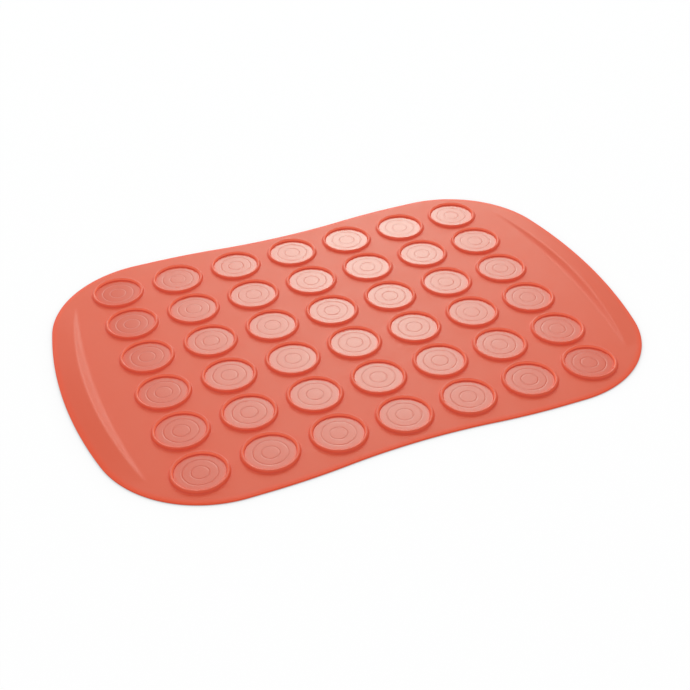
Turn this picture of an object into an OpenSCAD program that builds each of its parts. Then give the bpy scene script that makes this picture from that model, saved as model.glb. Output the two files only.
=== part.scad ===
// Silicone baking mat for macaron shells: a thin sheet with a raised grip
// along each end and a grid of shallow round wells, each with two guide rings.
// The real mat is one moulding. Each module below draws one region of it, and
// the regions meet face to face, so that together they fill the whole mould.
// The mat lies flat on z = 0 with its middle at x = 0, y = 0.

/* [Sheet outline] */
// Length of the mat over both grips
mat_length = 402.8; // [340:0.1:520]
// Width of the mat across the two bulges of its long sides
mat_width = 276.6; // [230:0.1:340]
// How far each long side is drawn in at the waist, halfway along the mat
waist_inset = 5.7; // [2:0.1:8]
// Length of the straight between a corner and the bow that leads to the waist
bulge_straight = 13.5; // [4:0.1:30]
// Radius of the bowed ends
end_radius = 366; // [320:1:430]
// Radius of the four corners
corner_radius = 78.6; // [64:0.1:86]
// Thickness of the silicone sheet
sheet_thickness = 1.4; // [1:0.1:3]

/* [Wells] */
// Diameter of the flat floor of a well
floor_diameter = 33; // [28:0.2:40]
// Height of a well's floor above the sheet around it
floor_rise = 0.2; // [0.1:0.05:0.6]
// Least clear distance between two rims along the length
column_gap = 7.8; // [3:0.1:16]
// Least clear distance between two rims across the width
row_gap = 4.3; // [3:0.1:16]
// Clear distance between the outermost rims and the mat's ends
end_border = 44.3; // [40:0.1:70]
// Clear distance between the outermost rims and the mat's waist
side_border = 7.25; // [5:0.05:30]

/* [Rims] */
// Height of a rim above the sheet around it
rim_height = 2; // [1.7:0.1:3]
// Width of a rim where it stands on the sheet
rim_width = 2.6; // [2:0.1:3.6]
// How round a rim's top is, from 0 for sharp to 1 for a full half circle
rim_roundness = 0.73; // [0.4:0.01:0.9]

/* [Guide rings] */
// Diameter of the smaller guide ring in each floor
small_ring_diameter = 11.5; // [8:0.5:14]
// Diameter of the larger guide ring in each floor
large_ring_diameter = 22.7; // [18:0.1:25]
// Width of the shallow round groove that draws a guide ring
groove_width = 1.2; // [0.6:0.05:1.4]
// Depth of that groove
groove_depth = 0.1; // [0.08:0.01:0.15]

/* [Grips] */
// Distance from the tips of a grip's ridge to the mat's long sides
tip_border = 37.3; // [33:0.1:60]
// Distance from the end of the mat to the foot of the ridge
grip_depth = 23.4; // [20:0.1:30]
// Radius, seen from above, of the bow that the ridge's foot follows
foot_radius = 600; // [480:5:800]
// Height of the ridge above the sheet, halfway along it
ridge_height = 2.7; // [2:0.1:6]
// Width of the ridge's steep inner side, halfway along it
ridge_run = 7.5; // [5:0.1:10]

/* [Hidden] */
$fn = 96;
// Straight steps in which each kind of bow is drawn
corner_steps = 24;
bulge_steps = 8;
grip_steps = 28;
rise_steps = 8;
fall_steps = 7;
// Width of the ridge's inner side at its tips, as a share of its width midway
tip_run_share = 0.3;
// Parts of the inner side that its hollow foot and its rounded crest take up
rise_foot_share = 0.5;
rise_crest_share = 0.2;
// Power that rounds the ridge's crest before it falls to the edge
crest_power = 1.25;
// Colours of the silicone regions
sheet_colour = [0.88, 0.49, 0.41];
rim_colour = [0.85, 0.36, 0.24];
grip_colour = [0.86, 0.44, 0.34];

half_length = mat_length / 2;
half_width = mat_width / 2;
half_waist = half_width - waist_inset;
half_span = half_width - tip_border;

// The end bow's middle lies on the x axis, and the corner's touches both the
// end bow and the straight line along the bulge.
end_x = half_length - end_radius;
corner_y = half_width - corner_radius;
corner_x = end_x + sqrt(pow(end_radius - corner_radius, 2) - pow(corner_y, 2));
meet_angle = atan2(corner_y, corner_x - end_x);
meet_y = end_radius * sin(meet_angle);
bulge_x = corner_x - bulge_straight;

// Two equal bows, one curved out and one curved in, lead from bulge to waist.
waist_radius = (pow(bulge_x, 2) + pow(waist_inset, 2)) / (4 * waist_inset);

floor_radius = floor_diameter / 2;
floor_level = sheet_thickness + floor_rise;
rim_foot_radius = floor_radius + rim_width;
rim_diameter = 2 * rim_foot_radius;
rim_crest_radius = rim_roundness * rim_width / 2;
rim_crest = [floor_radius + rim_width / 2, sheet_thickness + rim_height - rim_crest_radius];
groove_radius = (pow(groove_width / 2, 2) + pow(groove_depth, 2)) / (2 * groove_depth);
ridge_foot_x = half_length - grip_depth;

// As many wells as fit between the borders, spread evenly
grid_length = mat_length - 2 * end_border;
grid_width = 2 * (half_waist - side_border);
count_slack_share = 0.001;
columns = floor((grid_length + column_gap) / (rim_diameter + column_gap) + count_slack_share);
rows = floor((grid_width + row_gap) / (rim_diameter + row_gap) + count_slack_share);
column_pitch = (grid_length - rim_diameter) / (columns - 1);
row_pitch = (grid_width - rim_diameter) / (rows - 1);

function rim_name(row, column) = str("rim_r", row, "_c", column);

// Half length of the mat at a distance y from its long axis
function end_edge(y) =
    abs(y) < meet_y
        ? end_x + sqrt(pow(end_radius, 2) - pow(y, 2))
        : corner_x + sqrt(pow(corner_radius, 2) - pow(abs(y) - corner_y, 2));

// Half width of the mat at a distance x from its waist, up to the bulge
function side_edge(x) =
    x > bulge_x / 2
        ? half_width - waist_radius + sqrt(pow(waist_radius, 2) - pow(bulge_x - x, 2))
        : half_waist + waist_radius - sqrt(pow(waist_radius, 2) - pow(x, 2));

// Where the foot of the ridge runs, and how far the ridge has grown at y
function ridge_foot(y) = ridge_foot_x - foot_radius + sqrt(pow(foot_radius, 2) - pow(y, 2));
function ridge_share(y) = 1 - pow(y / half_span, 2);

// Distances y of the straight steps along a grip
grip_ys = [for (i = [0:grip_steps]) half_span * (2 * i / grip_steps - 1)];

// One quarter of the sheet's outline, from the tip of a grip to the waist
tip_angle = asin((half_span - corner_y) / corner_radius);
corner_points = [
    for (i = [0:corner_steps])
        let (angle = tip_angle + (90 - tip_angle) * i / corner_steps)
            [corner_x + corner_radius * cos(angle), corner_y + corner_radius * sin(angle)]
];
side_points = [
    for (i = [0:2 * bulge_steps])
        let (x = bulge_x * (1 - i / (2 * bulge_steps))) [x, side_edge(x)]
];
quarter = concat(corner_points, side_points);
last = len(quarter) - 1;
sheet_outline = concat(
    [for (y = grip_ys) if (abs(y) < half_span) [ridge_foot(y), y]],
    [[ridge_foot(half_span), half_span]],
    quarter,
    [for (i = [last - 1:-1:0]) [-quarter[i][0], quarter[i][1]]],
    [[-ridge_foot(half_span), half_span]],
    [for (y = grip_ys) if (abs(y) < half_span) [-ridge_foot(y), -y]],
    [[-ridge_foot(half_span), -half_span]],
    [for (i = [0:last]) [-quarter[i][0], -quarter[i][1]]],
    [for (i = [last - 1:-1:0]) [quarter[i][0], -quarter[i][1]]],
    [[ridge_foot(half_span), -half_span]]
);

// Middle of a well: row 1 lies at the back and column 1 on the left
function well_middle(row, column) = [
    column_pitch * (column - (columns + 1) / 2),
    row_pitch * ((rows + 1) / 2 - row)
];

module guide_groove(diameter) {
    translate([0, 0, floor_level])
        rotate_extrude()
            translate([diameter / 2, groove_radius - groove_depth])
                circle(r = groove_radius, $fn = 48);
}

module well_floor() {
    translate([0, 0, sheet_thickness / 2])
        cylinder(h = floor_level - sheet_thickness / 2, r = floor_radius);
}

module base_sheet() {
    color(sheet_colour)
        difference() {
            union() {
                linear_extrude(sheet_thickness)
                    polygon(sheet_outline);
                for (row = [1:rows], column = [1:columns])
                    translate(well_middle(row, column))
                        well_floor();
            }
            for (row = [1:rows], column = [1:columns])
                translate(well_middle(row, column)) {
                    guide_groove(small_ring_diameter);
                    guide_groove(large_ring_diameter);
                }
        }
}

// Where the side of a rim that rises from a foot touches the rounded top.
// The foot is a point of the rim's section, and side is 1 inside and -1 outside.
function crest_touch(foot, side) =
    let (
        reach = norm(rim_crest - foot),
        bearing = atan2(rim_crest[1] - foot[1], rim_crest[0] - foot[0]),
        slope = bearing + side * asin(rim_crest_radius / reach)
    )
    rim_crest + rim_crest_radius * [-side * sin(slope), side * cos(slope)];

inner_foot = [floor_radius, floor_level];
outer_foot = [rim_foot_radius, sheet_thickness];

module rim() {
    color(rim_colour)
        rotate_extrude() {
            polygon([
                [floor_radius, sheet_thickness],
                outer_foot,
                crest_touch(outer_foot, -1),
                crest_touch(inner_foot, 1),
                inner_foot
            ]);
            translate(rim_crest)
                circle(r = rim_crest_radius, $fn = 32);
        }
}

// Height that the ridge's inner side has reached after a share of its width,
// as a share too: a hollow foot, an even slope and a rounded crest
function rise_share(v) =
    let (steepness = 1 / (1 - (rise_foot_share + rise_crest_share) / 2))
        v < rise_foot_share
            ? steepness * pow(v, 2) / (2 * rise_foot_share)
            : v < 1 - rise_crest_share
                ? steepness * (v - rise_foot_share / 2)
                : 1 - steepness * pow(1 - v, 2) / (2 * rise_crest_share);

// Points of a grip's section at y, as distance from the mat's middle and
// height of the ridge: a soft step up from the foot, then a long fall.
function grip_section(y) =
    let (
        foot = ridge_foot(y),
        run = ridge_run * (tip_run_share + (1 - tip_run_share) * ridge_share(y)),
        fall = end_edge(y) - foot - run,
        height = ridge_height * ridge_share(y)
    )
    concat(
        [for (i = [0:rise_steps])
            let (v = i / rise_steps) [foot + run * v, height * rise_share(v)]],
        [for (i = [1:fall_steps])
            let (v = i / fall_steps) [foot + run + fall * v, height * (1 - pow(v, crest_power))]]
    );

section_size = rise_steps + fall_steps + 1;
station_size = 2 * section_size;

// The skin's upper points and then its lower points, station by station
grip_points = [
    for (y = grip_ys, level = [sheet_thickness, 0], point = grip_section(y))
        [point[0], y, point[1] + level]
];

function corner_at(station, layer, i) = station * station_size + layer * section_size + i;

// Two triangles for a strip's cell, turned so that they face outwards
function cell(a, b, c, d) = [[a, b, c], [a, c, d]];

grip_cells = concat(
    [for (s = [0:grip_steps - 1], i = [0:section_size - 2])
        cell(corner_at(s, 0, i), corner_at(s + 1, 0, i),
             corner_at(s + 1, 0, i + 1), corner_at(s, 0, i + 1))],
    [for (s = [0:grip_steps - 1], i = [0:section_size - 2])
        cell(corner_at(s, 1, i), corner_at(s, 1, i + 1),
             corner_at(s + 1, 1, i + 1), corner_at(s + 1, 1, i))],
    [for (s = [0:grip_steps - 1])
        cell(corner_at(s, 0, 0), corner_at(s, 1, 0),
             corner_at(s + 1, 1, 0), corner_at(s + 1, 0, 0))],
    [for (s = [0:grip_steps - 1])
        cell(corner_at(s, 0, section_size - 1), corner_at(s + 1, 0, section_size - 1),
             corner_at(s + 1, 1, section_size - 1), corner_at(s, 1, section_size - 1))],
    [for (i = [0:section_size - 2])
        cell(corner_at(0, 0, i), corner_at(0, 0, i + 1),
             corner_at(0, 1, i + 1), corner_at(0, 1, i))],
    [for (i = [0:section_size - 2])
        cell(corner_at(grip_steps, 0, i), corner_at(grip_steps, 1, i),
             corner_at(grip_steps, 1, i + 1), corner_at(grip_steps, 0, i + 1))]
);

module grip() {
    polyhedron(points = grip_points, faces = [for (pair = grip_cells) for (face = pair) face]);
}

module grip_right() {
    color(grip_colour)
        grip();
}

module grip_left() {
    color(grip_colour)
        mirror([1, 0, 0])
            grip();
}

base_sheet();
grip_left();
grip_right();
for (row = [1:rows], column = [1:columns])
    translate(well_middle(row, column)) rim();
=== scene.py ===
"""A silicone macaron mat, dressed for its picture.

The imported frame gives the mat's real sizes. This file models the silicone's
skin over it: the sheet with its soft edge and its two bowed grips, and the grid
of wells with their rims, floors and guide rings. It then lights and frames them.
"""

import logging
import math
from dataclasses import dataclass, field
from enum import Enum

import bmesh
import bpy
import numpy as np
from mathutils import Matrix, Vector


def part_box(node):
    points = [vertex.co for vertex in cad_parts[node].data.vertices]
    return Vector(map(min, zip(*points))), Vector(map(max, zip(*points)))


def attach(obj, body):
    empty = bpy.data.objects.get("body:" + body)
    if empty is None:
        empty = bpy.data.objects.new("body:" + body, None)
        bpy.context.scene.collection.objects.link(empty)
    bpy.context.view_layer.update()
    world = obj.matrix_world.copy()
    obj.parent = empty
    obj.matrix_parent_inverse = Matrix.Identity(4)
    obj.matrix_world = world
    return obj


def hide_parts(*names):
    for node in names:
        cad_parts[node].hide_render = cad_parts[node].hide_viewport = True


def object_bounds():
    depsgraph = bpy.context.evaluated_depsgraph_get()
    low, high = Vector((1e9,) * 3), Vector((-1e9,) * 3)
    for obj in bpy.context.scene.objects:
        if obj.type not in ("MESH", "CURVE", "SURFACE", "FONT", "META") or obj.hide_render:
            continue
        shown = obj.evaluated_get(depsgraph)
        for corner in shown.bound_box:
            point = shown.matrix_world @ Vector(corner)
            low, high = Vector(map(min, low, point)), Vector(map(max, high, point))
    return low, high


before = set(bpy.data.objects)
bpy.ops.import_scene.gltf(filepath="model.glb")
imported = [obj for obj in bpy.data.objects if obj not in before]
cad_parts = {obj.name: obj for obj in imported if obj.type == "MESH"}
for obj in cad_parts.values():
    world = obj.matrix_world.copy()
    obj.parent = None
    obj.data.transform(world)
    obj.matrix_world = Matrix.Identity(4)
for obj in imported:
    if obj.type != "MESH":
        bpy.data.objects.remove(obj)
CAD_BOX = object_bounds()

log = logging.getLogger("macaron_mat")

MM = 0.001
BODY = "root"

# The tint of the lamps behind the mat, which keeps their reflections from turning pink
COOL_TINT = (0.60, 1.0, 0.92)

# Where a Mix node that mixes colours has them among its sockets
MIX_COLOURS = (6, 7)
MIX_RESULT = 2

# Shifts that keep the three layers of noise in a finish apart
BROAD_SEED = 3.1
FINE_SEED = 7.7
SMEAR_SEED = 1.3

# How close two points lie that are one and the same
WELD_DISTANCE = 0.01 * MM

# Where a fillet starts on the sine wave of painted shade that darkens it towards its middle
PAINTED_SHADE_START = 0.15


class Region(Enum):
    """The regions of the silicone that have a look of their own."""

    SHEET = "silicone_sheet"
    RIMS = "well_rims"
    FLOORS = "well_floors"


# Shader maths


class Term:
    """One value in a material's node tree, which adds nodes as it is reckoned with."""

    def __init__(self, desk: "ShaderDesk", socket: bpy.types.NodeSocket) -> None:
        """Wraps a socket.

        Args:
            desk: The node tree that the value lives in.
            socket: The output socket that carries the value.
        """
        self.desk = desk
        self.socket = socket

    def _join(self, operation: str, first: object, second: object) -> "Term":
        """Adds one Math node that joins two values."""
        return self.desk.node("ShaderNodeMath", {"operation": operation}, {0: first, 1: second})

    def __add__(self, other: object) -> "Term":
        """Adds a value or a number."""
        return self._join("ADD", self, other)

    def __sub__(self, other: object) -> "Term":
        """Takes a value or a number away."""
        return self._join("SUBTRACT", self, other)

    def __mul__(self, other: object) -> "Term":
        """Multiplies with a value or a number."""
        return self._join("MULTIPLY", self, other)

    def limited(self) -> "Term":
        """Keeps the value between 0 and 1."""
        return self.desk.node("ShaderNodeClamp", {}, {"Value": self})


class ShaderDesk:
    """Builds one material's node tree."""

    def __init__(self, name: str) -> None:
        """Starts an empty material.

        Args:
            name: The material's name.
        """
        self.material = bpy.data.materials.new(name)
        self.material.use_nodes = True
        self.tree = self.material.node_tree
        self.tree.nodes.clear()

    def node(
        self,
        kind: str,
        settings: dict[str, object],
        inputs: dict[object, object],
        output: object = 0,
    ) -> Term:
        """Adds a node.

        Args:
            kind: The node's type.
            settings: Its settings, made before its sockets are used.
            inputs: Values or terms for its sockets, by name or number.
            output: The output socket that the result wraps.

        Returns:
            The node's output as a term.
        """
        made = self.tree.nodes.new(kind)
        for key, value in settings.items():
            setattr(made, key, value)
        for key, value in inputs.items():
            if isinstance(value, Term):
                self.tree.links.new(value.socket, made.inputs[key])
            else:
                made.inputs[key].default_value = value
        return Term(self, made.outputs[output])

    def noise(self, size: float, detail: float, seed: float) -> Term:
        """Adds soft noise in the piece's own coordinates.

        Args:
            size: The size of its blotches, in metres.
            detail: How many finer layers it has.
            seed: Shifts it, so that two layers differ.

        Returns:
            The noise, from 0 to 1.
        """
        place = self.node("ShaderNodeTexCoord", {}, {}, "Object")
        shift = (seed, -seed, seed)
        moved = self.node("ShaderNodeMapping", {}, {"Vector": place, "Location": shift})
        return self.node(
            "ShaderNodeTexNoise",
            {"noise_dimensions": "3D"},
            {"Vector": moved, "Scale": 1 / size, "Detail": detail, "Roughness": 0.5},
            "Fac",
        )

    def attribute(self, name: str) -> Term:
        """Reads a mesh attribute as a number."""
        return self.node("ShaderNodeAttribute", {"attribute_name": name}, {}, "Fac")

    def blend(self, share: Term, first: object, second: object) -> Term:
        """Mixes two colours.

        Args:
            share: How much of the second colour shows, from 0 to 1.
            first: The colour at 0.
            second: The colour at 1.

        Returns:
            The mixed colour.
        """
        made = self.tree.nodes.new("ShaderNodeMix")
        made.data_type = "RGBA"
        self.tree.links.new(share.socket, made.inputs[0])
        for slot, colour in zip(MIX_COLOURS, (first, second)):
            if isinstance(colour, Term):
                self.tree.links.new(colour.socket, made.inputs[slot])
            else:
                made.inputs[slot].default_value = (*colour, 1.0)
        return Term(self, made.outputs[MIX_RESULT])


@dataclass(frozen=True)
class SiliconeFinish:
    """How one region of the silicone looks.

    The colours are linear red, green and blue. Sizes are in metres. The darker
    colour is painted shade in the fillets and grooves, where the mesh's painted shade
    attribute is high, and the brighter colour and the emission are painted light that
    stands in for light shining through the silicone, where its painted light attribute is.
    """

    name: str
    colour: tuple[float, float, float]
    painted_shade_colour: tuple[float, float, float]
    painted_glow_colour: tuple[float, float, float]
    roughness: float
    grain_size: float
    grain_depth: float
    painted_glow_emission: tuple[float, float, float]
    roughness_at_painted_shade: float = 0.0
    roughness_at_painted_glow: float = 0.0
    specular: float = 0.5
    mottle_size: float = 0.045
    mottle_strength: float = 0.10
    ior: float = 1.45
    mottle_detail: float = 2.0
    grain_detail: float = 3.0
    smear_share: float = 0.3
    smear_strength: float = 0.08
    grain_strength: float = 0.04

    def material(self) -> bpy.types.Material:
        """Builds the material.

        Returns:
            A material whose colour follows the mesh's fold and glow attributes.
        """
        desk = ShaderDesk(self.name)
        broad = desk.noise(self.mottle_size, self.mottle_detail, BROAD_SEED)
        fine = desk.noise(self.grain_size, self.grain_detail, FINE_SEED)
        smear = desk.noise(self.mottle_size * self.smear_share, self.mottle_detail, SMEAR_SEED)
        # Painted shade darkens the fillets and grooves, mixed with random mottle in tone; painted
        # light brightens the colour and adds emission where light would shine through the silicone.
        painted_fold_shade = (desk.attribute("painted_fold_shade") + (broad - 0.5) * self.mottle_strength).limited()
        painted_glow_mask = desk.attribute("painted_light")
        colour = desk.blend(painted_fold_shade, self.colour, self.painted_shade_colour)
        colour = desk.blend(painted_glow_mask, colour, self.painted_glow_colour)
        uneven = (smear - 0.5) * self.smear_strength + (fine - 0.5) * self.grain_strength
        marked = painted_fold_shade * self.roughness_at_painted_shade + painted_glow_mask * self.roughness_at_painted_glow
        bump = desk.node(
            "ShaderNodeBump",
            {},
            {"Strength": 1.0, "Distance": self.grain_depth, "Height": fine},
            "Normal",
        )
        skin = desk.node(
            "ShaderNodeBsdfPrincipled",
            {},
            {
                "Base Color": colour,
                "Roughness": uneven + marked + self.roughness,
                "Normal": bump,
                "IOR": self.ior,
                "Specular IOR Level": self.specular,
                # Painted light: emission standing in for light shining through the silicone.
                "Emission Color": desk.blend(painted_glow_mask, (0.0, 0.0, 0.0), self.painted_glow_emission),
                "Emission Strength": 1.0,
            },
            "BSDF",
        )
        out = desk.tree.nodes.new("ShaderNodeOutputMaterial")
        desk.tree.links.new(skin.socket, out.inputs["Surface"])
        return desk.material


# Each finish carries a darker colour for painted shade, and a brighter colour and emission for
# painted light shining through the silicone.
MATTE_SKIN = SiliconeFinish(
    name="coral silicone, matte",
    colour=(0.90, 0.100, 0.037),
    painted_shade_colour=(0.74, 0.060, 0.020),
    painted_glow_colour=(0.95, 0.070, 0.016),
    roughness=0.52,
    grain_size=0.0007,
    grain_depth=0.00002,
    painted_glow_emission=(0.07, 0.014, 0.004),
)
RIM_SKIN = SiliconeFinish(
    name="coral silicone, satin rims",
    colour=(0.90, 0.095, 0.034),
    painted_shade_colour=(0.78, 0.045, 0.014),
    painted_glow_colour=(0.95, 0.11, 0.036),
    roughness=0.52,
    grain_size=0.0006,
    grain_depth=0.00001,
    painted_glow_emission=(0.28, 0.075, 0.040),
    roughness_at_painted_glow=-0.18,
    specular=0.7,
)
FLOOR_SKIN = SiliconeFinish(
    name="coral silicone, smooth floors",
    colour=(0.85, 0.105, 0.048),
    painted_shade_colour=(0.80, 0.090, 0.038),
    painted_glow_colour=(0.87, 0.090, 0.028),
    roughness=0.22,
    grain_size=0.0009,
    grain_depth=0.000006,
    painted_glow_emission=(0.032, 0.0, 0.0),
    roughness_at_painted_shade=0.12,
)


# Meshes


def skin_object(
    name: str,
    rings: list[np.ndarray],
    marks: dict[str, list[float]],
    closed_ends: bool = True,
) -> bpy.types.Object:
    """Joins rings of points into one closed skin.

    Args:
        name: The object's name.
        rings: Loops of points with one count of points, in order along the skin.
        marks: Attribute values by name, one for each ring.
        closed_ends: Whether the first and last rings are filled with a face.

    Returns:
        The new object, at the origin.
    """
    count = len(rings[0])
    points = np.concatenate(rings)
    faces: list[tuple[int, ...]] = []
    for k in range(len(rings) - 1):
        low, high = k * count, (k + 1) * count
        for i in range(count):
            j = (i + 1) % count
            faces.append((low + i, low + j, high + j, high + i))
    if closed_ends:
        faces.append(tuple(range(count - 1, -1, -1)))
        last = (len(rings) - 1) * count
        faces.append(tuple(range(last, last + count)))
    mesh = bpy.data.meshes.new(name)
    mesh.from_pydata(points.tolist(), [], faces)
    mesh.update()
    mesh.shade_smooth()
    for key, values in marks.items():
        layer = mesh.attributes.new(key, "FLOAT", "POINT")
        layer.data.foreach_set("value", np.repeat(np.asarray(values, dtype=float), count))
    made = bpy.data.objects.new(name, mesh)
    bpy.context.scene.collection.objects.link(made)
    return made


@dataclass
class Outline:
    """The mat's bowed outline, built from arcs that run into each other.

    Sizes are in metres, and the middle of the mat is the origin.
    """

    half_length: float
    half_width: float
    half_waist: float = 132.6 * MM
    bulge_x: float = 103 * MM
    end_radius: float = 366 * MM
    corner_radius: float = 78.6 * MM
    step: float = 1.7 * MM
    fewest_steps: int = 3
    straight_steps: int = 7

    def __post_init__(self) -> None:
        """Works out where the arcs have their middles."""
        self.end_x = self.half_length - self.end_radius
        self.corner_y = self.half_width - self.corner_radius
        reach = self.end_radius - self.corner_radius
        self.corner_x = self.end_x + math.sqrt(reach**2 - self.corner_y**2)
        self.meet_angle = math.atan2(self.corner_y, self.corner_x - self.end_x)
        self.meet_y = self.end_radius * math.sin(self.meet_angle)
        drop = self.half_width - self.half_waist
        self.waist_radius = (self.bulge_x**2 + drop**2) / (4 * drop)

    def _arc(
        self, middle: tuple[float, float], radius: float, start: float, end: float, turn: float
    ) -> np.ndarray:
        """Points and outward normals along an arc, without its last point."""
        count = max(self.fewest_steps, round(abs(end - start) * radius / self.step))
        angles = start + (end - start) * np.arange(count) / count
        ways = np.c_[np.cos(angles), np.sin(angles)]
        return np.c_[np.asarray(middle) + radius * ways, ways * turn]

    def quarter(self) -> np.ndarray:
        """Points and outward normals from the right-hand end to the waist.

        Returns:
            Rows of x, y and the two parts of the outward normal.
        """
        lean = math.asin(self.bulge_x / 2 / self.waist_radius)
        steps = self.straight_steps
        flat = np.linspace(self.corner_x, self.bulge_x, steps + 1)[:-1]
        return np.concatenate(
            [
                self._arc((self.end_x, 0), self.end_radius, 0, self.meet_angle, 1),
                self._arc(
                    (self.corner_x, self.corner_y),
                    self.corner_radius,
                    self.meet_angle,
                    math.pi / 2,
                    1,
                ),
                np.c_[flat, np.full(steps, self.half_width), np.zeros(steps), np.ones(steps)],
                self._arc(
                    (self.bulge_x, self.half_width - self.waist_radius),
                    self.waist_radius,
                    math.pi / 2,
                    math.pi / 2 + lean,
                    1,
                ),
                self._arc(
                    (0, self.half_waist + self.waist_radius),
                    self.waist_radius,
                    -math.pi / 2 + lean,
                    -math.pi / 2,
                    -1,
                ),
            ]
        )

    def loop(self) -> np.ndarray:
        """The whole outline, once round from the right-hand end.

        Returns:
            Rows of x, y and the two parts of the outward normal.
        """
        one = self.quarter()
        top = np.array([[0, self.half_waist, 0, 1]])
        two = one[:0:-1] * (-1, 1, -1, 1)
        left = np.array([[-self.half_length, 0, -1, 0]])
        upper = np.concatenate([one, top, two, left])
        lower = upper[1:-1][::-1] * (1, -1, 1, -1)
        return np.concatenate([upper, lower])

    def end_at(self, y: np.ndarray) -> np.ndarray:
        """Half length of the mat at a distance y from its long axis."""
        y = np.minimum(np.abs(y), self.half_width)
        bowed = self.end_x + np.sqrt(self.end_radius**2 - y**2)
        corner = self.corner_x + np.sqrt(
            np.maximum(self.corner_radius**2 - np.maximum(y - self.corner_y, 0) ** 2, 0)
        )
        return np.where(y < self.meet_y, bowed, corner)


@dataclass
class GripRidge:
    """The crescent-shaped ridge along each end."""

    outline: Outline
    half_span: float
    depth: float = 23.4 * MM
    foot_radius: float = 600 * MM
    height: float = 2.7 * MM
    run: float = 7.5 * MM
    tip_run_share: float = 0.3
    foot_share: float = 0.5
    crest_share: float = 0.2
    crest_power: float = 1.25

    def foot(self, y: np.ndarray) -> np.ndarray:
        """Where the foot of the ridge runs, as a distance from the mat's middle."""
        start = self.outline.half_length - self.depth - self.foot_radius
        return start + np.sqrt(self.foot_radius**2 - y**2)

    def lift(self, x: np.ndarray, y: np.ndarray) -> np.ndarray:
        """How far the ridge lifts the skin.

        Args:
            x: Places along the mat.
            y: Places across it.

        Returns:
            The height that the ridge adds at each place.
        """
        grown = np.clip(1 - (y / self.half_span) ** 2, 0, 1)
        run = self.run * (self.tip_run_share + (1 - self.tip_run_share) * grown)
        foot = self.foot(np.clip(y, -self.half_span, self.half_span))
        past = np.abs(x) - foot
        fall = self.outline.end_at(y) - foot - run
        down = np.clip((past - run) / fall, 0, 1)
        return self.height * grown * self.rise(past / run) * (1 - down**self.crest_power)

    def rise(self, share: np.ndarray) -> np.ndarray:
        """How far the inner side has risen: a soft foot, an even slope and a tighter crest.

        Args:
            share: How far each place lies from the foot to the crest, from 0 to 1.

        Returns:
            The share of the ridge's height that is reached there.
        """
        v = np.clip(share, 0, 1)
        steepness = 1 / (1 - self.foot_share / 2 - self.crest_share / 2)
        foot = steepness * v**2 / (2 * self.foot_share)
        slope = steepness * (v - self.foot_share / 2)
        crest = 1 - steepness * (1 - v) ** 2 / (2 * self.crest_share)
        return np.where(v < self.foot_share, foot, np.where(v < 1 - self.crest_share, slope, crest))


@dataclass
class Sheet:
    """The silicone sheet with its soft edge and both grips, as one skin."""

    outline: Outline
    ridge: GripRidge
    thickness: float = 1.4 * MM
    edge_run: float = 3.6 * MM
    edge_drop: float = 0.5 * MM
    edge_steps: int = 9
    under_round: float = 0.5 * MM
    under_middle: float = 0.3
    grip_reach: float = 34 * MM
    grip_loops: int = 44
    # How far in from the edge the painted light reaches.
    painted_glow_width: float = 4.5 * MM

    def ring(self, loop: np.ndarray, inset: float, height: float) -> np.ndarray:
        """One loop of the skin.

        Args:
            loop: The outline with its normals.
            inset: How far inside the outline the loop runs.
            height: Its height where no ridge lifts it.

        Returns:
            The loop's points.
        """
        flat = loop[:, :2] - inset * loop[:, 2:]
        return np.c_[flat, height + self.ridge.lift(flat[:, 0], flat[:, 1])]

    def build(self) -> bpy.types.Object:
        """Models the skin.

        Returns:
            The sheet's object.
        """
        loop = self.outline.loop()
        insets = np.linspace(self.grip_reach, self.edge_run, self.grip_loops)
        bend = np.linspace(math.pi / 2, 0, self.edge_steps + 1)[1:]
        under = self.under_round
        between = under * self.under_middle
        path = [(inset, self.thickness) for inset in insets]
        path += [
            (
                self.edge_run * (1 - math.cos(a)),
                self.thickness - self.edge_drop * (1 - math.sin(a)),
            )
            for a in bend
        ]
        path += [(0, under), (between, between), (under, 0)]
        path += [(inset, 0) for inset in insets[::-1][1:]]
        rings = [self.ring(loop, inset, height) for inset, height in path]
        # Painted light: emission and a brighter colour, fading inward from the top edge, stand in
        # for light shining through it.
        painted_light = [
            max(0.0, 1 - inset / self.painted_glow_width) if height > 0 else 0.0 for inset, height in path
        ]
        marks = {"painted_fold_shade": [0.0] * len(path), "painted_light": painted_light}
        return skin_object(Region.SHEET.value, rings, marks)


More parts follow.
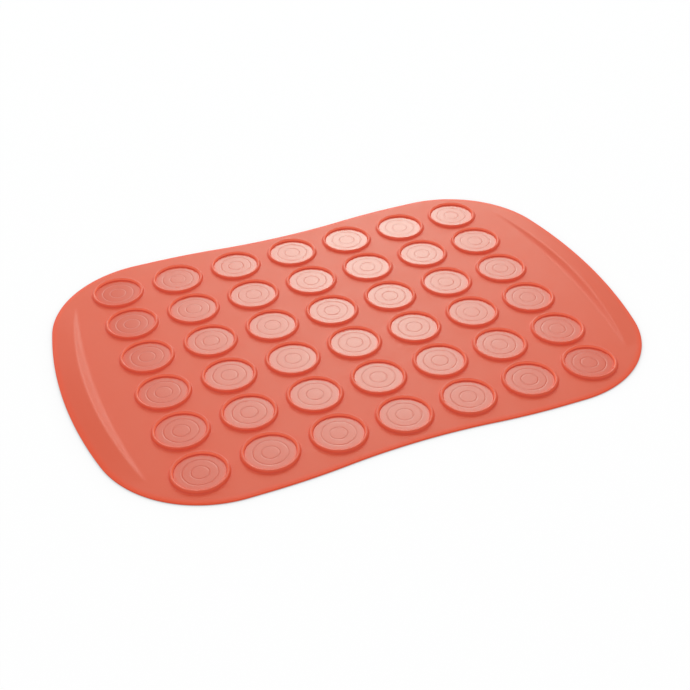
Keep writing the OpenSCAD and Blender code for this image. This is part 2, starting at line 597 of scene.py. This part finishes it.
@dataclass
class WellGrid:
    """The wells: how one is shaped, and how they repeat over the sheet."""

    columns: int = 7
    rows: int = 6
    column_pitch: float = 46 * MM
    row_pitch: float = 42.5 * MM
    floor_radius: float = 16.5 * MM
    floor_level: float = 1.6 * MM
    sheet_level: float = 1.4 * MM
    rim_top: float = 3.4 * MM
    rim_width: float = 2.6 * MM
    crest_radius: float = 0.95 * MM
    inner_fillet: float = 0.4 * MM
    outer_fillet: float = 0.9 * MM
    # How dark the painted shade gets in the fillet at the rim's outer foot.
    outer_painted_shade: float = 0.2
    # Where the rim's painted light starts above the foot, and the share of it on the outer side.
    painted_glow_start: float = 0.2
    outer_painted_glow_share: float = 0.25
    seat_depth: float = 0.4 * MM
    seat_reach: float = 1.2 * MM
    segments: int = 96
    inner_steps: int = 4
    crest_points: int = 9
    outer_steps: int = 6
    guide_radii: tuple[float, ...] = (5.75 * MM, 11.35 * MM)
    groove_width: float = 1.2 * MM
    groove_depth: float = 0.08 * MM
    groove_points: int = 7
    groove_margin: float = 1.6
    hub_radius: float = 0.6 * MM
    # Painted reflected light at the floor's border: its width and how far its ramp reaches.
    painted_bleed_width: float = 2.2 * MM
    painted_bleed_ramp_share: float = 0.8
    border_shares: tuple[float, ...] = (0, 0.5, 1)
    tuck_reach: float = 0.4 * MM
    tuck_step: float = 0.01 * MM

    def _ring(self, radius: float, height: float) -> np.ndarray:
        """A circle of points round the well's axis."""
        angles = 2 * math.pi * np.arange(self.segments) / self.segments
        return np.c_[
            radius * np.cos(angles), radius * np.sin(angles), np.full(self.segments, height)
        ]

    def rim_path(self) -> list[tuple[float, float, float]]:
        """The rim's section from its inner foot over the top to its outer foot.

        Returns:
            Rows of radius, height and how dark the painted shade makes the point.
        """
        middle = np.array(
            [self.floor_radius + self.rim_width / 2, self.rim_top - self.crest_radius]
        )
        inner = np.array([self.floor_radius, self.floor_level])
        outer = np.array([self.floor_radius + self.rim_width, self.sheet_level])
        sides = []
        for foot, side in ((inner, 1), (outer, -1)):
            reach = np.linalg.norm(middle - foot)
            bearing = math.atan2(middle[1] - foot[1], middle[0] - foot[0])
            sides.append(bearing + side * math.asin(self.crest_radius / reach))
        path = [(inner[0] - self.seat_reach, self.floor_level - self.seat_depth, 0.0)]
        # The fillets at the rim's feet carry painted shade: full at the inner foot, faint at the
        # outer one.
        path += fillet_points(inner, 0.0, sides[0], self.inner_fillet, self.inner_steps, 1.0)
        start, stop = sides[0] + math.pi / 2, sides[1] - math.pi / 2
        for share in np.linspace(0, 1, self.crest_points):
            angle = start + (stop - start) * share
            point = middle + self.crest_radius * np.array([math.cos(angle), math.sin(angle)])
            path.append((point[0], point[1], 0.0))
        path += fillet_points(
            outer, sides[1] - math.pi, 0.0, self.outer_fillet, self.outer_steps, self.outer_painted_shade
        )
        path.append((path[-1][0] + self.seat_depth, self.sheet_level - self.seat_depth, 0.0))
        return path

    def rim(self) -> bpy.types.Object:
        """Models one rim round the origin, with painted light above its foot that stands in for
        light shining through it.
        """
        path = self.rim_path()
        path.append(path[0])
        rings = [self._ring(r, z) for r, z, _ in path]
        height = self.rim_top - self.sheet_level
        # Painted light: emission and a brighter colour that rise above the rim's foot, weaker on
        # its outer side, stand in for light shining through it.
        grown = [(z - self.sheet_level) / height - self.painted_glow_start for _, z, _ in path]
        painted_light = [max(0.0, math.sin(math.pi * share / (1 - self.painted_glow_start))) for share in grown]
        crest = self.floor_radius + self.rim_width / 2
        painted_light = [
            share * (self.outer_painted_glow_share if r > crest else 1.0)
            for share, (r, _, _) in zip(painted_light, path)
        ]
        made = skin_object(
            Region.RIMS.value,
            rings,
            {"painted_fold_shade": [f for _, _, f in path], "painted_light": painted_light},
            closed_ends=False,
        )
        weld(made)
        return made

    def floor(self) -> bpy.types.Object:
        """Models one floor round the origin, with its guide rings."""
        half = self.groove_width / 2
        level = self.floor_level
        path = [(self.hub_radius, level, 0.0)]
        for radius in self.guide_radii:
            path.append((radius - half * self.groove_margin, level, 0.0))
            # Painted shade darkens each guide groove towards its bottom.
            for share in np.linspace(-1, 1, self.groove_points):
                sunk = 0.5 + 0.5 * math.cos(math.pi * share)
                path.append((radius + half * share, level - self.groove_depth * sunk, sunk))
            path.append((radius + half * self.groove_margin, level, 0.0))
        border = self.floor_radius - self.painted_bleed_width
        path += [(border + self.painted_bleed_width * share, level, 0.0) for share in self.border_shares]
        tuck = self.floor_radius + self.tuck_reach
        path.append((tuck, level, 0.0))
        path.append((tuck + self.tuck_step, level - self.seat_depth, 0.0))
        rings = [self._ring(r, z) for r, z, _ in path]
        # Painted reflected light: a redder, self-lit ring just inside the floor's border stands in
        # for light bounced from the rim.
        painted_bleed_ramp = self.painted_bleed_width * self.painted_bleed_ramp_share
        painted_bleed = [min(1.0, max(0.0, (r - border) / painted_bleed_ramp)) for r, _, _ in path]
        return skin_object(
            Region.FLOORS.value,
            rings[::-1],
            {"painted_fold_shade": [f for _, _, f in path][::-1], "painted_light": painted_bleed[::-1]},
        )

    def repeat(self, single: bpy.types.Object, finish: SiliconeFinish) -> bpy.types.Object:
        """Repeats one piece over the grid of wells.

        Args:
            single: The piece round the origin, which the grid takes over.
            finish: What it is made of.

        Returns:
            One plain object that holds every copy.
        """
        modifier = single.modifiers.new("grid of wells", "NODES")
        modifier.node_group = grid_tree(finish.material())
        sizes = {
            "Columns": self.columns,
            "Rows": self.rows,
            "Column pitch": self.column_pitch,
            "Row pitch": self.row_pitch,
        }
        for item in modifier.node_group.interface.items_tree:
            if item.name in sizes and item.in_out == "INPUT":
                modifier[item.identifier] = sizes[item.name]
        graph = bpy.context.evaluated_depsgraph_get()
        plain = bpy.data.meshes.new_from_object(single.evaluated_get(graph), depsgraph=graph)
        single.modifiers.remove(modifier)
        single.data = plain
        plain.name = single.name
        return single


def fillet_points(
    corner: np.ndarray, come: float, leave: float, radius: float, steps: int, depth: float
) -> list[tuple[float, float, float]]:
    """Rounds an inside corner of a section and paints shade into it, darkest at its middle.

    Args:
        corner: The sharp corner.
        come: The direction in which the section arrives.
        leave: The direction in which it goes on.
        radius: The fillet's radius.
        steps: How many straight steps draw it.
        depth: How dark the painted shade gets at the fillet's middle, from 0 to 1.

    Returns:
        Rows of radius, height and painted shade.
    """
    turn = (leave - come + math.pi) % (2 * math.pi) - math.pi
    tangent = radius * math.tan(abs(turn) / 2)
    start = corner - tangent * np.array([math.cos(come), math.sin(come)])
    side = math.copysign(1.0, turn)
    middle = start + radius * np.array([-math.sin(come), math.cos(come)]) * side
    rows = []
    for share in np.linspace(0, 1, steps + 1):
        angle = come - side * math.pi / 2 + turn * share
        point = middle + radius * np.array([math.cos(angle), math.sin(angle)])
        # Painted shade that swells to its darkest at the fillet's middle.
        swell = math.sin(math.pi * (PAINTED_SHADE_START + (1 - 2 * PAINTED_SHADE_START) * share))
        rows.append((point[0], point[1], depth * swell))
    return rows


def weld(piece: bpy.types.Object) -> None:
    """Merges the doubled points where a ring-shaped skin closes on itself."""
    work = bmesh.new()
    work.from_mesh(piece.data)
    bmesh.ops.remove_doubles(work, verts=work.verts, dist=WELD_DISTANCE)
    bmesh.ops.recalc_face_normals(work, faces=work.faces)
    work.to_mesh(piece.data)
    work.free()


def grid_tree(material: bpy.types.Material) -> bpy.types.GeometryNodeTree:
    """Builds the node tree that repeats a piece over the wells.

    Args:
        material: What the copies are made of.

    Returns:
        A tree with named inputs for the counts and the pitches.
    """
    tree = bpy.data.node_groups.new("grid of wells", "GeometryNodeTree")
    face = tree.interface
    face.new_socket("Piece", in_out="INPUT", socket_type="NodeSocketGeometry")
    for name in ("Columns", "Rows"):
        face.new_socket(name, in_out="INPUT", socket_type="NodeSocketInt")
    for name in ("Column pitch", "Row pitch"):
        face.new_socket(name, in_out="INPUT", socket_type="NodeSocketFloat")
    face.new_socket("Wells", in_out="OUTPUT", socket_type="NodeSocketGeometry")
    nodes, links = tree.nodes, tree.links
    given = nodes.new("NodeGroupInput")
    grid = nodes.new("GeometryNodeMeshGrid")
    for count, pitch, size, share in (
        ("Columns", "Column pitch", "Size X", "Vertices X"),
        ("Rows", "Row pitch", "Size Y", "Vertices Y"),
    ):
        less = nodes.new("ShaderNodeMath")
        less.operation = "SUBTRACT"
        less.inputs[1].default_value = 1.0
        span = nodes.new("ShaderNodeMath")
        span.operation = "MULTIPLY"
        links.new(given.outputs[count], less.inputs[0])
        links.new(less.outputs[0], span.inputs[0])
        links.new(given.outputs[pitch], span.inputs[1])
        links.new(span.outputs[0], grid.inputs[size])
        links.new(given.outputs[count], grid.inputs[share])
    place = nodes.new("GeometryNodeInstanceOnPoints")
    real = nodes.new("GeometryNodeRealizeInstances")
    painted = nodes.new("GeometryNodeSetMaterial")
    painted.inputs["Material"].default_value = material
    result = nodes.new("NodeGroupOutput")
    links.new(grid.outputs["Mesh"], place.inputs["Points"])
    links.new(given.outputs["Piece"], place.inputs["Instance"])
    links.new(place.outputs["Instances"], real.inputs["Geometry"])
    links.new(real.outputs["Geometry"], painted.inputs["Geometry"])
    links.new(painted.outputs["Geometry"], result.inputs["Wells"])
    return tree


# Studio


@dataclass
class Camera:
    """The camera at the photograph's place.

    Its angles are in degrees, its place in metres and its lens in millimetres.
    """

    place: tuple[float, float, float] = (-0.2517, -0.6485, 0.5081)
    azimuth: float = 21.33
    elevation: float = 36.98
    roll: float = -1.38
    lens: float = 62.9
    sensor: float = 36.0
    lens_shift: tuple[float, float] = (-0.00072, 0.00072)

    def build(self) -> bpy.types.Object:
        """Makes the camera and hands it to the scene."""
        data = bpy.data.cameras.new("camera")
        data.lens = self.lens
        data.sensor_width = self.sensor
        data.shift_x, data.shift_y = self.lens_shift
        made = bpy.data.objects.new("camera", data)
        turn = (
            Matrix.Rotation(math.radians(-self.azimuth), 4, "Z")
            @ Matrix.Rotation(math.radians(90 - self.elevation), 4, "X")
            @ Matrix.Rotation(math.radians(self.roll), 4, "Z")
        )
        made.matrix_world = Matrix.Translation(self.place) @ turn
        bpy.context.scene.collection.objects.link(made)
        bpy.context.scene.camera = made
        return made


def looked_at(tree: bpy.types.NodeTree) -> bpy.types.NodeSocket:
    """Tells rays that look at a thing, straight or by way of gloss, from rays that light it.

    Args:
        tree: The node tree to add the nodes to.

    Returns:
        A socket that is 1 for a camera, glossy or transmission ray.
    """
    path = tree.nodes.new("ShaderNodeLightPath")
    socket = path.outputs["Is Camera Ray"]
    for other in ("Is Glossy Ray", "Is Transmission Ray"):
        either = tree.nodes.new("ShaderNodeMath")
        either.operation = "MAXIMUM"
        tree.links.new(socket, either.inputs[0])
        tree.links.new(path.outputs[other], either.inputs[1])
        socket = either.outputs[0]
    return socket


@dataclass
class SoftBox:
    """A soft lamp that looks at the middle of the mat.

    Its azimuth runs from +Y towards +X. Angles are in degrees and sizes in metres.
    """

    name: str
    azimuth: float
    elevation: float
    distance: float
    width: float
    height: float
    radiance: float
    tint: tuple[float, float, float] = (1.0, 1.0, 1.0)

    def build(self) -> bpy.types.Object:
        """Makes the lamp."""
        data = bpy.data.lights.new(self.name, "AREA")
        data.shape = "RECTANGLE"
        data.size = self.width
        data.size_y = self.height
        data.energy = self.radiance * math.pi * self.width * self.height
        data.color = self.tint
        made = bpy.data.objects.new(self.name, data)
        a, e = math.radians(self.azimuth), math.radians(self.elevation)
        way = Vector((math.sin(a) * math.cos(e), math.cos(a) * math.cos(e), math.sin(e)))
        made.location = way * self.distance
        made.rotation_euler = way.to_track_quat("Z", "Y").to_euler()
        bpy.context.scene.collection.objects.link(made)
        return made


@dataclass
class Studio:
    """White sweep, sky and lamps."""

    floor_half: float = 4.0
    sky: float = 0.52
    floor_white: float = 0.985
    floor_paint: float = 0.85
    floor_drop: float = 0.05 * MM
    # Painted contact shadow on the floor: its samples, reach and power.
    painted_shadow_samples: int = 16
    painted_shadow_reach: float = 14 * MM
    painted_shadow_power: float = 0.8
    boxes: list[SoftBox] = field(
        default_factory=lambda: [
            SoftBox("back soft box, core", 23.0, 30.8, 1.50, 0.28, 0.60, 2.35, COOL_TINT),
            SoftBox("back soft box, middle", 22.8, 31.0, 1.54, 0.62, 0.62, 2.65, COOL_TINT),
            SoftBox("back soft box, rim", 23.4, 36.2, 1.58, 0.92, 1.04, 2.32, COOL_TINT),
            SoftBox("low back strip", 3.0, 13.0, 1.75, 2.60, 0.34, 1.60, COOL_TINT),
            SoftBox("left fill", -30.0, 30.0, 1.62, 0.80, 0.50, 0.40),
            SoftBox("overhead soft box", -75.0, 70.0, 1.4, 1.2, 1.0, 0.38),
        ]
    )

    def world(self) -> None:
        """Sets a white background and an even, plain sky."""
        world = bpy.data.worlds.new("white room")
        bpy.context.scene.world = world
        world.use_nodes = True
        tree = world.node_tree
        tree.nodes.clear()
        seen = tree.nodes.new("ShaderNodeBackground")
        seen.inputs["Strength"].default_value = 1.0
        lit = tree.nodes.new("ShaderNodeBackground")
        lit.inputs["Strength"].default_value = self.sky
        for node in (seen, lit):
            node.inputs["Color"].default_value = (1, 1, 1, 1)
        mix = tree.nodes.new("ShaderNodeMixShader")
        out = tree.nodes.new("ShaderNodeOutputWorld")
        tree.links.new(looked_at(tree), mix.inputs[0])
        tree.links.new(lit.outputs[0], mix.inputs[1])
        tree.links.new(seen.outputs[0], mix.inputs[2])
        tree.links.new(mix.outputs[0], out.inputs["Surface"])

    def floor(self) -> bpy.types.Object:
        """Lays the white floor, which keeps a faint real shadow and a painted contact shadow near
        the mat.
        """
        half = self.floor_half
        mesh = bpy.data.meshes.new("floor")
        corners = [(-half, -half, 0), (half, -half, 0), (half, half, 0), (-half, half, 0)]
        mesh.from_pydata(corners, [], [(0, 1, 2, 3)])
        made = bpy.data.objects.new("floor", mesh)
        made.location.z = -self.floor_drop
        bpy.context.scene.collection.objects.link(made)
        desk = ShaderDesk("white floor")
        paint = desk.node(
            "ShaderNodeBsdfDiffuse", {}, {"Color": (*[self.floor_paint] * 3, 1.0)}, "BSDF"
        )
        # Painted shadow: ambient occlusion darkens the white that the floor shows near the mat.
        open_share = desk.node(
            "ShaderNodeAmbientOcclusion",
            {"samples": self.painted_shadow_samples},
            {"Distance": self.painted_shadow_reach},
            "AO",
        )
        shade = desk.node(
            "ShaderNodeMath", {"operation": "POWER"}, {0: open_share, 1: self.painted_shadow_power}
        )
        painted_light = desk.blend(shade, (0.0, 0.0, 0.0), (1.0, 1.0, 1.0))
        white = desk.node("ShaderNodeEmission", {}, {"Color": painted_light, "Strength": 1.0}, "Emission")
        seen = Term(desk, looked_at(desk.tree)) * self.floor_white
        mixed = desk.node("ShaderNodeMixShader", {}, {0: seen, 1: paint, 2: white}, "Shader")
        out = desk.tree.nodes.new("ShaderNodeOutputMaterial")
        desk.tree.links.new(mixed.socket, out.inputs["Surface"])
        mesh.materials.append(desk.material)
        return made

    def build(self) -> None:
        """Makes the whole studio."""
        self.world()
        self.floor()
        for box in self.boxes:
            box.build()
        bpy.context.scene.view_settings.view_transform = "Standard"


def dress(piece: bpy.types.Object, nodes: list[str]) -> None:
    """Ties a finished piece to the frame and reports it.

    Args:
        piece: The piece.
        nodes: The nodes of the frame that it replaces.
    """
    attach(piece, BODY)
    if nodes:
        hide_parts(*nodes)
    log.info("%s: %d faces, stands for %d nodes", piece.name, len(piece.data.polygons), len(nodes))


def main() -> None:
    """Builds the mat, the studio and the camera."""
    logging.basicConfig(level=logging.INFO, format="%(name)s: %(message)s")
    low, high = CAD_BOX
    grip_low, grip_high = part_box("grip_right")
    outline = Outline(half_length=(high[0] - low[0]) / 2, half_width=(high[1] - low[1]) / 2)
    ridge = GripRidge(outline, half_span=(grip_high[1] - grip_low[1]) / 2)
    Camera().build()
    Studio().build()
    sheet = Sheet(outline, ridge).build()
    sheet.data.materials.append(MATTE_SKIN.material())
    dress(sheet, ["base_sheet", "grip_left", "grip_right"])
    wells = WellGrid()
    rims = wells.repeat(wells.rim(), RIM_SKIN)
    dress(rims, sorted(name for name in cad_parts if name.startswith("rim_")))
    floors = wells.repeat(wells.floor(), FLOOR_SKIN)
    dress(floors, [])


if __name__ == "__main__":
    main()
